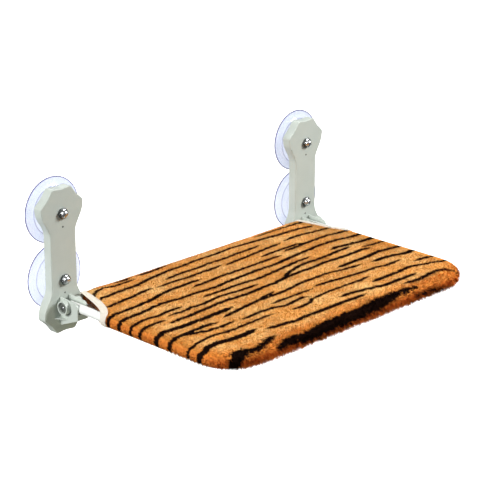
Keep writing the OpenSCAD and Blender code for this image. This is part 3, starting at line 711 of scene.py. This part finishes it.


# Stripes, drawn on the skin rolled out flat: the half width, then the
# places in pairs, across from the middle and out from the window.
stripes = [
    [3.8, -160, 36, -144, 35.5, -130, 35],
    [3.8, -120, 36, -101, 35, -85, 34, -62, 33],
    [2.6, -100, 25, -84, 22],
    [2.4, -44, 26, -30, 23],
    [2.4, 6, 27, 22, 24],
    [2.5, -213, 57, -208, 49, -196, 43, -183, 43, -171, 50, -151, 48, -131, 45],
    [2.8, -212, 70, -207, 65, -199, 68, -177, 70, -149, 68, -121, 62, -95, 58, -75, 56, -51, 56,
     -27, 53, 15, 53, 47, 50, 79, 54, 111, 58, 131, 62, 165, 63, 189, 64, 206, 62],
    [2.4, -106, 79, -79, 76, -45, 78, -15, 75, 5, 76, 35, 74, 83, 72],
    [2.6, -226, 88, -216, 91, -205, 94, -179, 96, -159, 92, -140, 90],
    [2.4, -133, 94, -107, 92, -85, 94, -59, 94, -29, 94, -14, 92],
    [2.4, -10, 98, 5, 95, 35, 93, 61, 90, 81, 88, 109, 87],
    [2.7, -258, 115, -233, 115, -229, 113, -219, 117, -195, 122, -171, 122, -149, 115, -121, 112,
     -93, 111, -71, 112],
    [2.8, -258, 136, -233, 136, -226, 135, -217, 139, -197, 142, -175, 141, -155, 142, -139, 144,
     -121, 144, -101, 146, -73, 147, -53, 144, -27, 143, 5, 142, 25, 143, 47, 142, 75, 138, 105,
     136, 139, 133, 167, 134, 191, 136, 213, 134, 233, 129, 258, 129],
    [2.5, -258, 158, -233, 158, -225, 157, -215, 159, -199, 166, -177, 167, -159, 167],
    [2.6, -117, 162, -89, 163, -65, 162, -45, 162, -15, 165, 5, 163, 25, 162, 55, 158, 75, 156,
     96, 155],
    [2.5, -258, 176, -233, 176, -226, 175, -213, 179, -201, 183],
    [2.5, -192, 177, -171, 181, -153, 178, -135, 180, -109, 176, -81, 177, -61, 180, -31, 179],
    [2.8, -206, 193, -179, 198, -151, 195, -125, 193, -105, 192, -79, 194, -59, 195, -33, 192,
     -13, 193, 5, 190, 15, 189, 43, 188, 61, 189, 91, 185, 119, 187, 145, 188, 169, 188, 188,
     190],
    [2.7, 10, 190, 25, 180, 43, 175, 59, 171, 75, 169, 115, 170, 139, 168, 168, 168],
    [3.6, -258, 206, -233, 206, -229, 203, -219, 207, -197, 215, -179, 217, -149, 216, -113,
     214],
    [2.6, -147, 231, -121, 227, -93, 224, -73, 221, -59, 218, -36, 213],
    [2.5, -80, 222, -59, 222, -37, 222, -15, 220, 5, 218, 43, 218, 65, 219, 85, 222, 107, 225,
     124, 226],
    [3.0, -258, 230, -233, 230, -229, 227, -221, 230, -199, 234, -165, 238],
    [2.6, -224, 229, -209, 238, -193, 248, -175, 252, -146, 250],
    [2.3, -71, 242, -53, 241, -23, 241, 8, 242],
    [2.5, 16, 238, 35, 240, 69, 245, 101, 248, 125, 249, 145, 253, 176, 252],
    [2.5, -136, 253, -105, 251, -79, 253, -61, 258, -37, 256, -23, 254, -15, 260],
    [2.3, -67, 274, -53, 275, -33, 274, -19, 266, 5, 265, 21, 264, 55, 265, 77, 266, 96, 264],
    [2.2, -258, 263, -233, 263, -223, 261, -195, 263, -179, 268, -159, 269, -135, 268, -109, 267,
     -94, 268],
    [3.8, -258, 281, -245, 283, -233, 284, -221, 280, -205, 282, -193, 286, -169, 288, -145,
     286],
    [2.6, -135, 293, -117, 296, -101, 297, -85, 300, -65, 298, -37, 299, 5, 299, 25, 300, 49,
     300],
    [2.6, 11, 286, 35, 287, 55, 290, 75, 294, 89, 297, 115, 297, 135, 298, 157, 298],
    [2.6, 115, 309, 126, 311, 143, 313, 169, 310, 188, 310, 201, 315, 206, 324, 207, 330],
    [2.5, 105, 39, 135, 40, 165, 42, 185, 42, 203, 40, 214, 32],
    [2.5, 121, 84, 135, 83, 155, 84, 175, 87, 195, 87, 221, 83],
    [2.4, 48, 108, 75, 106, 99, 106, 123, 106, 137, 111],
    [2.6, 86, 115, 107, 114, 123, 113, 139, 112, 167, 112, 195, 112, 215, 109, 237, 104, 258,
     104],
    [2.5, -101, 127, -75, 125, -49, 123, -25, 124, 5, 123, 73, 123],
    [3.2, 138, 158, 151, 156, 175, 160, 199, 160, 221, 156, 234, 152, 258, 152],
    [2.4, 179, 181, 197, 180, 231, 174, 258, 174],
    [3.1, 91, 212, 115, 211, 141, 211, 159, 211, 181, 209, 207, 207, 232, 204, 258, 204],
    [3.4, 142, 230, 163, 231, 183, 233, 203, 235, 215, 234, 229, 229, 258, 228],
    [2.5, 187, 268, 207, 266, 226, 264, 258, 264],
    [2.6, 84, 280, 115, 280, 139, 280, 165, 278, 179, 280, 191, 285, 207, 287, 223, 288, 258,
     290],
]
# The bold bands of the front in threes, each place with its own half width.
bands = [
    [-230, 331, 7, -222, 327, 8, -209, 319.5, 8.7, -198, 319, 7.2, -186, 324.5, 5, -170, 322,
     5.4, -152, 315, 5.5, -140, 313, 2],
    [-154, 333.8, 3, -135, 331, 6, -118, 330.2, 6.8, -106, 333.4, 6.4, -90, 333, 7.8, -70, 331,
     8.4, -47, 329.6, 8.8, -25, 330, 9.2, 8, 329.4, 8.6, 48, 326.4, 9.8, 64, 324.8, 8.2, 82,
     323.4, 6.6, 108, 324.4, 5, 121, 325, 3.4],
    [104, 341, 1, 115, 338, 2.4, 128, 337, 2.8, 145, 338, 3, 162, 340.5, 3, 176, 342.5, 2, 186,
     344, 1],
]
stripe_swell, stripe_taper = 1.22, 14


def waves(x, y, scale, seed):
    """Smooth wandering between minus one and one: twelve plane waves about one
    scale long, in directions and phases drawn from a seed."""
    draw = np.random.default_rng(seed)
    total = np.zeros_like(x)
    for _ in range(12):
        a, phase = draw.uniform(0, 2 * np.pi, 2)
        k = 2 * np.pi / (scale * draw.uniform(0.7, 1.5))
        total += np.sin(k * (x * np.cos(a) + y * np.sin(a)) + phase)
    return total / 4.2


def stripe_lines():
    """Each stripe as rows of across, out and half width, and whether it tapers."""
    for half, *places in stripes:
        places = np.reshape(places, (-1, 2))
        yield np.column_stack([places, np.full(len(places), half * stripe_swell)]), True
    for band in bands:
        yield np.reshape(band, (-1, 3)), False


def stripe_share(x, out):
    """How dark the pile is at a place on the flat skin. It is one inside a
    stripe's half width, which tapers to its ends and wanders a little, more so
    on the bold bands, and it falls to nought over the next millimetre."""
    wander = 0.5 * waves(x, out, 11, 3) + 0.55 * waves(x, out, 3.6, 4)
    ragged = 1.5 * waves(x, out, 9, 5) + 1.5 * waves(x, out, 3.4, 6)
    best = np.full(x.shape, -9.0)
    for line, tapers in stripe_lines():
        low, high = line.min(0) - stripe_taper, line.max(0) + stripe_taper
        near = np.nonzero((x > low[0]) & (x < high[0]) & (out > low[1]) & (out < high[1]))[0]
        if len(near) == 0:
            continue
        px, py, stray = x[near], out[near], (wander if tapers else ragged)[near]
        lengths = np.hypot(*np.diff(line[:, :2], axis=0).T)
        total, run = lengths.sum(), 0.0
        for (x0, y0, h0), (x1, y1, h1), length in zip(line[:-1], line[1:], lengths):
            t = np.clip(((px - x0) * (x1 - x0) + (py - y0) * (y1 - y0)) / length ** 2, 0, 1)
            away = np.hypot(px - x0 - t * (x1 - x0), py - y0 - t * (y1 - y0))
            place = run + t * length
            end = np.minimum(place, total - place) / stripe_taper
            taper = np.clip(end + 0.25, 0, 1) if tapers else 1.0
            best[near] = np.maximum(best[near], (h0 + (h1 - h0) * t) * taper - away + stray)
            run += length
    return eased(best + 0.5)


pile_shades = [(235, 175, 97), (216, 143, 64), (239, 197, 133), (210, 127, 53), (208, 122, 52),
               (222, 104, 38), (230, 143, 60), (246, 146, 76), (92, 44, 14), (27, 15, 11)]


def pile_colour(x, out, down, facing):
    """Colour of the pile, in linear light: warm orange on top that wanders
    between yellow and rust with a fine mottle, deeper within 25 mm of the sides
    and the front, crossed by the black-brown stripes. Painted light and shade are
    in it too: lighter along the rear as painted light, darker at the rear corners
    beside the hinges as painted shade, and darker and redder below the edge and on
    the face of the front as painted shade, with a lighter band at the front's foot."""
    top, edge, pale, rust, side, foot, brink, glow, brown, black = (
        np.array(linear(shade)) for shade in pile_shades)

    def toward(goal, share):
        return colour + (goal - colour) * share[:, None]

    broad, fine = waves(x, out, 70, 11), waves(x, out, 14, 12)
    near_side, at_side = eased((np.abs(x) - 212) / 24), eased((np.abs(x) - 222) / 22)
    near_front, rear_light = eased((out - 303) / 22), eased((72 - out) / 36)
    from_bend = np.hypot(np.maximum(np.abs(x) - 190, 0), np.maximum(out - 276, 0)) - 28
    front_corner = eased(from_bend / 22) * (out > 276)
    hinge_shade = eased((np.abs(x) - 182) / 16) * eased((60 - out) / 20)
    front_shade = eased((down - 5) / 9) * np.clip(-facing, 0, 1)

    mix = np.clip(0.35 + 0.4 * broad + 0.25 * fine, 0, 1)[:, None]
    colour = top + (pale - top) * 0.6 * mix + (rust - top) * 0.35 * (1 - mix)
    colour = toward(edge, 0.9 * near_side)
    colour = toward(brink, 0.9 * np.maximum(near_front, front_corner))
    # Painted light along the rear, and painted shade at the rear corners beside the hinges.
    gain = (1 - 0.08 * at_side) * (
        1 + 0.24 * rear_light * (1 - hinge_shade) - 0.22 * hinge_shade)
    gain *= 1 + 0.17 * waves(x, out, 3.2, 13) + 0.1 * waves(x, out, 6, 14)
    colour *= gain[:, None]
    # Painted shade: darker and redder down the sides and on the face of the front, with a lighter
    # band at its foot.
    colour = toward(side, eased(down / 10))
    colour = toward(foot, front_shade)
    colour = toward(glow, front_shade * eased((down - 13) / 6))
    dark = stripe_share(x, out)
    colour = toward(brown, np.clip(dark * 1.7, 0, 1))
    return toward(black, eased(dark * 1.5 - 0.5))


def settle_cover(obj):
    """Lets the cover swell over the foam: Cloth with a little pressure and no
    gravity, its sides held by the frame, each point's way capped at 2.5 mm."""
    mesh = obj.data
    rest = read_rows(mesh.vertices, "co")
    down = read_rows(mesh.attributes["flat_place"].data, "vector")[:, 2]
    still = (down > 4) | (rest[:, 1] < -0.320) | (rest[:, 0] > 0.222)
    obj.vertex_groups.new(name="held").add(np.nonzero(still)[0].tolist(), 1.0, "REPLACE")
    cloth = obj.modifiers.new("swell", "CLOTH")
    setting = cloth.settings
    setting.quality = 5
    setting.vertex_group_mass = "held"
    setting.use_pressure, setting.uniform_pressure_force = True, 4
    setting.effector_weights.gravity = 0
    setting.mass = 0.25
    setting.tension_stiffness = setting.compression_stiffness = 12
    setting.bending_stiffness = 1.5
    cloth.collision_settings.use_self_collision = False
    cloth.point_cache.frame_start, cloth.point_cache.frame_end = 1, 20
    for f in range(1, 21):
        scene.frame_set(f)
    shaped = obj.evaluated_get(bpy.context.evaluated_depsgraph_get())
    way = read_rows(shaped.data.vertices, "co") - rest
    length = np.linalg.norm(way, axis=1, keepdims=True)
    way *= np.minimum(1, 0.0025 / np.maximum(length, 1e-9))
    obj.modifiers.remove(cloth)
    obj.vertex_groups.clear()
    scene.frame_set(1)
    mesh.vertices.foreach_set("co", (rest + way).astype(np.float32).ravel())
    mesh.update()


def hollows(x, y):
    """Soft unevenness of the top, where the pile and the foam lie: broad and
    fine waves, half a millimetre either way."""
    return 0.55 * waves(x, y, 120, 21) + 0.25 * waves(x, y, 45, 22)


def paint(mesh, colour):
    """Keeps a colour in linear light on each point, as the piece's own attribute."""
    mesh.color_attributes.new("pile_colour", "FLOAT_COLOR", "POINT").data.foreach_set(
        "color", np.column_stack([colour, np.ones(len(colour))]).astype(np.float32).ravel())


def dyed(name, roughness, scale, detail, low, swing):
    """A finish that takes its colour from the points, darker and lighter along
    a noise. Returns the noise too."""
    finish = Finish(name, pile_shades[0], Roughness=roughness, Specular_IOR_Level=0.0)
    grain = finish.noise(scale, detail)
    finish.set(Base_Color=finish.node("ShaderNodeVectorMath", {"operation": "SCALE"}, {
        0: finish.attribute("pile_colour", 0), "Scale": low + swing * grain}).outputs[0])
    return finish, grain


points, faces, flats = mat_rings()
top = flats[:, 2] == 0
points[top, 2] += hollows(points[top, 0], points[top, 1]) * eased(
    np.minimum(mat_half - np.abs(points[top, 0]), points[top, 1] + mat_front) / 60)
mesh = bpy.data.meshes.new("cover_cage")
mesh.from_pydata((points / 1000).tolist(), [], faces.tolist())
mesh.attributes.new("flat_place", "FLOAT_VECTOR", "POINT").data.foreach_set(
    "vector", flats.astype(np.float32).ravel())
welded(mesh, 1e-5)
cover = placed("plush_pile_cover", mesh)
settle_cover(cover)
fine = cover.modifiers.new("fine", "SUBSURF")
fine.levels = fine.render_levels = 2
mesh = bpy.data.meshes.new_from_object(
    cover.evaluated_get(bpy.context.evaluated_depsgraph_get()))
cover.modifiers.clear()

co = read_rows(mesh.vertices, "co") * 1000
flat = read_rows(mesh.attributes["flat_place"].data, "vector")
quads = np.zeros(len(mesh.loops), dtype=np.int32)
mesh.loops.foreach_get("vertex_index", quads)
quads = quads.reshape(-1, 4)
kept = np.abs(co[:, 0]) <= scoop_limit(co[:, 1], 4.0)
quads = (np.cumsum(kept) - 1)[quads[kept[quads].all(1)]]
co, flat = co[kept], flat[kept]
mesh = bpy.data.meshes.new("plush_pile_cover")
mesh.from_pydata((co / 1000).tolist(), [], quads.tolist())
cover.data = mesh


def outward(flat, co):
    """How far each point of the skin faces the room, from its place rolled out."""
    way = flat[:, :2] - co[:, :2]
    return way[:, 1] / np.maximum(np.hypot(*way.T), 1e-3)


paint(mesh, pile_colour(flat[:, 0], -flat[:, 1], flat[:, 2], outward(flat, co)))
tiger_plush, tuft = dyed("tiger_plush", 0.9, 420, 3, 0.78, 0.44)
tiger_plush.set(Roughness=0.75 + 0.2 * tuft)
tiger_plush.bumped(tuft, 0.5)
mesh.materials.append(tiger_plush.material)
mesh.polygons.foreach_set("use_smooth", np.ones(len(mesh.polygons), bool))
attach(cover, "perch")
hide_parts("plush_cover")

# Pile: the standing fibres of the plush, short on top and longer down the
# sides and the front, where they hang. Each blade is one thin triangle.
blade_count = 190000


def pile_blades(co, flat, quads):
    """Places blades evenly by area on the cover's faces. Each leans from the
    skin's normal by a lay that wanders, and hangs down along the sides. They
    are longer on the front and its edge, and shorter low on the sides, at the
    right, at the rear side and beside the hinges, where they clear the brackets
    as the perch folds."""
    draw = np.random.default_rng(5)
    a, b, c, d = (co[quads[:, k]] for k in range(4))
    cross = np.cross(c - a, d - b)
    area = np.linalg.norm(cross, axis=1)
    up = cross / area[:, None]
    pick = draw.choice(len(quads), blade_count, p=area / area.sum())
    u, v = draw.random((2, blade_count, 1))

    def spread(values):
        k = values[quads[pick]]
        return (k[:, 0] * (1 - u) * (1 - v) + k[:, 1] * u * (1 - v)
                + k[:, 2] * u * v + k[:, 3] * (1 - u) * v)

    root, place, normal = spread(co), spread(flat), up[pick]
    down = place[:, 2]
    facing = outward(place, root)
    long_pile = eased(down / 12)
    front = np.clip(-facing, 0, 1) * eased((down - 2) / 6)
    fringe = eased((-place[:, 1] - 300) / 26)
    bare = eased((down - 14) / 5) * (1 - np.clip(-facing * 1.5, 0, 1))
    right = eased((place[:, 0] - 215) / 20)
    hinge_side = eased((np.abs(place[:, 0]) - 190) / 8) * eased((place[:, 1] + 46) / 8)
    reach = ((1.5 + 0.6 * long_pile + 1.9 * front + 1.0 * fringe)
             * (1 - 0.75 * bare) * (1 - 0.75 * right) * (1 - 0.65 * hinge_side)
             * (1 - 0.8 * np.clip(facing, 0, 1) * eased(down / 5))
             * draw.uniform(0.5, 1.5, blade_count))
    lay = np.column_stack([0.5 * waves(place[:, 0], place[:, 1], 60, 31),
                           -0.45 + 0.4 * waves(place[:, 0], place[:, 1], 50, 32),
                           -1.1 * long_pile]) + draw.normal(0, 0.35, (blade_count, 3))
    way = normal + lay * (0.55 + 0.35 * long_pile[:, None])
    way /= np.linalg.norm(way, axis=1, keepdims=True)
    across = np.cross(way, draw.normal(0, 1, (blade_count, 3)))
    across /= np.linalg.norm(across, axis=1, keepdims=True)
    half = draw.uniform(0.28, 0.42, (blade_count, 1))
    tip = root + way * reach[:, None]
    corners = np.stack([root - across * half - normal * 0.3,
                        root + across * half - normal * 0.3, tip], 1)
    stray = place[:, :2] + draw.normal(0, 0.45, (blade_count, 2)) * (1 + 2.4 * fringe[:, None])
    # The blades take the pile's colour, its painted light and shade included.
    tint = pile_colour(stray[:, 0], -stray[:, 1], down, facing)
    tint *= draw.uniform(0.6, 1.36, (blade_count, 1))
    return corners.reshape(-1, 3), np.repeat(tint, 3, 0), np.repeat(normal, 3, 0)


corners, tint, normals = pile_blades(co, flat, quads)
blades = bpy.data.meshes.new("standing_pile")
blades.vertices.add(len(corners))
blades.vertices.foreach_set("co", (corners / 1000).astype(np.float32).ravel())
blades.loops.add(len(corners))
blades.loops.foreach_set("vertex_index", np.arange(len(corners), dtype=np.int32))
blades.polygons.add(len(corners) // 3)
blades.polygons.foreach_set("loop_start", np.arange(0, len(corners), 3, dtype=np.int32))
blades.polygons.foreach_set("use_smooth", np.ones(len(corners) // 3, bool))
blades.update(calc_edges=True)
paint(blades, tint)
blades.normals_split_custom_set_from_vertices(normals.tolist())
fibre, _ = dyed("pile_fibre", 0.85, 700, 2, 0.85, 0.3)
blades.materials.append(fibre.material)
pile = placed("standing_pile", blades)
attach(pile, "perch")

# Foam pad: a block of soft foam inside the cover, with a groove across it for
# the crossbar. It shows only in the scooped corners, behind the hems.
foam_inset, crossbar_y, groove_half = 13.6, -116.5, 7


def foam_pad():
    """The mat's form drawn in from the tubes: rings of the outline from the
    underside over its edge to the middle of the top."""
    rings = []
    low = 0.3 - skirt
    for inset, z in ((70, low), (foam_inset + 2, low), (foam_inset + 0.6, low + 0.5),
                     (foam_inset, low + 2.5), (foam_inset, 1), (foam_inset + 0.8, 4),
                     (foam_inset + 3, 5.4), (30, 5.6), (70, 5.6)):
        p, _ = edge_line(inset)
        rings.append(np.column_stack([p, z + crown(p[:, 0], p[:, 1]) * (z > 0)]))
    for z in (5.6, low):
        p = np.tile(mat_centre, (len(rings[0]), 1))
        ring = np.column_stack([p, np.full(len(p), z + crown_rise * (z > 0))])
        rings = rings + [ring] if z > 0 else [ring] + rings
    rings = np.array(rings)
    limit = scoop_limit(rings[..., 1], hem_width + 1)
    rings[..., 0] = np.clip(rings[..., 0], -limit, limit)
    dip = np.abs(rings[..., 1] - crossbar_y) < groove_half
    rings[..., 2] = np.where(dip & (rings[..., 2] < 0), 0.4, rings[..., 2])
    return ring_form(rings)


seat_foam = mottled("seat_foam", (178, 112, 74), (224, 160, 118), 900, 3, (0.85, 0.12), 0.4)
points, faces = foam_pad()
foam = solid_piece("foam_pad", points, faces, "perch", seat_foam, ["foam_core"])

# Lining: the brown knitted back of the plush, which shows inside the scooped
# corners.
knit_back = mottled("knit_back", (198, 124, 78), (236, 170, 118), 1, rough=(0.9, 0),
                    relief=0.3, stretch=(900, 350, 900))


def lining_rings():
    """The skin drawn in by a millimetre, from its lower edge to 45 mm in."""
    rim, out = edge_line(edge_round)
    rings = []
    for d in (*np.linspace(arc_length + skirt - 0.3, arc_length + 0.1, 4),
              *np.linspace(arc_length, 0, 6)):
        inwards = np.column_stack([out * (d > arc_length), np.zeros(len(rim))])
        rings.append(on_mat(rim, out, d, -1.0) - inwards)
    rings += [on_top(inset) - (0, 0, 1.0) for inset in (12, 20, 30, 45)]
    points, faces = ring_form(rings)
    keep = np.abs(points[:, 0]) <= scoop_limit(points[:, 1], 2.0)
    return points, faces[keep[faces].all(1)]


points, faces = lining_rings()
solid_piece("cover_lining", points, faces, "perch", knit_back, weld=False)

# Corner hems: a cream cloth band folded over the edge of each scooped corner
# and stitched down, from the rear edge over the top to the side.


def woven(name, low, high, warp, weft):
    """Cloth whose colour follows the product of two stretched noises, and whose
    relief of a quarter millimetre follows their sum."""
    cloth = Finish(name, low, Roughness=0.9)
    warp, weft = cloth.noise(1, 2, warp), cloth.noise(1, 2, weft)
    cloth.set(Base_Color=cloth.blend(warp * weft * 2.2, low, high))
    cloth.bumped(warp + weft, 0.25)
    return cloth


hem_cloth = woven("hem_cloth", (192, 184, 170), (216, 210, 198),
                  (1600, 500, 1600), (500, 1600, 500))


def hem_band(s):
    """A flat tube of cloth along the scoop. Its path on the flat skin comes up
    the rear side, follows the scoop and goes down the side; its section is a
    flattened loop that rolls over the opening's edge."""
    down = arc_length + skirt - 0.4
    reach = np.array([mat_half, -mat_rear]) - edge_round
    t = np.linspace(0.002, 0.995, 70)
    curve = scoop_curve(t) - np.outer(t ** 3, (0, 3.0))
    past = np.clip((curve - reach) / edge_round, 0, 1)
    curve = np.where(past > 0, reach + edge_round * np.arcsin(past), curve)
    drop = np.linspace(down, arc_length + 0.3, 9)
    rear = np.column_stack([np.full(9, curve[0, 0]), reach[1] + drop])
    side = np.column_stack([reach[0] + drop[::-1], np.full(9, curve[-1, 1])])
    path = np.concatenate([rear, curve, side])
    step = np.concatenate([[0], np.cumsum(np.hypot(*np.diff(path, axis=0).T))])
    even = np.linspace(0, step[-1], 110)
    path = np.column_stack([np.interp(even, step, path[:, k]) for k in (0, 1)])
    for _ in range(2):
        path[1:-1] = (path[:-2] + 2 * path[1:-1] + path[2:]) / 4
    ahead = np.gradient(path, axis=0)
    ahead /= np.linalg.norm(ahead, axis=1, keepdims=True)
    away = np.column_stack([ahead[:, 1], -ahead[:, 0]])
    away *= np.sign(away @ np.array([-1.0, -1.0]))[:, None]
    around = np.linspace(0, 2 * np.pi, 28, endpoint=False)
    width = hem_width * (0.5 - 0.5 * np.cos(around))
    lift = np.where(np.sin(around) > 0, 1.35, 0.9) * np.abs(np.sin(around)) ** 0.45 * np.sign(
        np.sin(around)) + 0.25
    k = np.arange(len(path))
    pleat = 0.12 * np.sin(k * 1.9) + 0.08 * np.sin(k * 0.7)
    slim = 0.55 + 0.45 * eased(np.linspace(0, 1.6, len(path)))
    place = path[:, None, :] + away[:, None, :] * (width * slim[:, None])[:, :, None]
    over = np.maximum(place - reach, 0)
    d = over.max(-1)
    way = np.stack([(over[..., 0] >= over[..., 1]) & (over[..., 0] > 0),
                    over[..., 1] > over[..., 0]], -1) * 1.0
    lift = lift[None, :] * (1 + pleat[:, None])
    turn = np.minimum(d, arc_length) / edge_round
    points = on_mat(np.minimum(place, reach), way, d)
    points[..., :2] += way * (np.sin(turn) * lift)[..., None]
    points[..., 2] += np.cos(turn) * lift
    ends = points[[0, -1]].mean(1, keepdims=True).repeat(len(around), 1)
    return ring_form(np.concatenate([ends[:1], points, ends[1:]]) * (s, 1, 1))


for side, s in (("left", -1), ("right", 1)):
    points, faces = hem_band(s)
    solid_piece(f"{side}_scoop_hem", points, faces, "perch", hem_cloth,
                [f"{side}_corner_hem"])

# Base cloth: cream woven cloth sewn to the cover's lower edge all round, with
# a strip of hook tape across it that closes the cover.
base_z = -skirt - 0.5


def base_sheet():
    """The outline's rings drawn flat from the edge to the middle, pushed in at
    the scoops, with shallow wrinkles that die out at the sewn edge."""
    rings = [edge_line(inset)[0]
             for inset in (tuck, 8, 12, 18, 26, 36, 48, 62, 80, 100, 125, 150)]
    plan = np.array(rings + [np.tile(mat_centre, (len(rings[0]), 1))])
    limit = scoop_limit(plan[..., 1])
    plan[..., 0] = np.clip(plan[..., 0], -limit, limit)
    inner = eased((mat_half - np.abs(plan[..., 0])) / 60) * eased(
        (plan[..., 1] + mat_front) / 60) * eased((-mat_rear - plan[..., 1]) / 60)
    z = base_z + 0.3 * waves(plan[..., 0], plan[..., 1], 55, 41) * inner
    return ring_form(np.concatenate([plan, z[..., None]], -1))


base_weave = woven("base_weave", (226, 219, 203), (247, 244, 237),
                   (1500, 350, 900), (350, 1500, 900))
points, faces = base_sheet()
base = solid_piece("base_cloth_sheet", points, faces, "perch", base_weave,
                   ["base_cloth"])
thick = base.modifiers.new("cloth", "SOLIDIFY")
thick.thickness, thick.offset = 0.0009, 0

hook_tape = mottled("hook_tape", (196, 190, 176), (232, 228, 218), 1600, 1, (0.8, 0), 0.3)
refinish(hook_tape, "closure_tape")

# Stitches: slanted cream threads that show along the foot of the side, where
# the cover is sewn to the base cloth.
seam_start, seam_end, stitch_pitch = 228, 312, 7.0


def slanted_stitches():
    """Short threads, each a six-sided spindle that leans along the seam."""
    draw = np.random.default_rng(9)
    forms = []
    for side in (-1, 1):
        for out in np.arange(seam_start, seam_end, stitch_pitch):
            lean = draw.uniform(3.4, 4.6)
            foot = np.array([side * (mat_half - 1.5), -out, -draw.uniform(9.0, 10.2)])
            head = np.array([side * (mat_half + 1.4), -out + lean, -draw.uniform(3.4, 4.6)])
            t = np.array([0, 0.12, 0.5, 0.88, 1])[:, None]
            line = foot + (head - foot) * t + (side * 0.5, 0, 0) * np.sin(np.pi * t)
            a = np.arange(6) * np.pi / 3
            thick = np.array([0.02, 0.6, 0.75, 0.6, 0.02])[:, None]
            ring = np.stack([thick * np.cos(a), thick * np.sin(a), 0 * thick * a], -1)
            forms.append(ring_form(line[:, None, :] + ring))
    return joined(forms)


points, faces = slanted_stitches()
solid_piece("side_stitches", points, faces, "perch", hem_cloth)
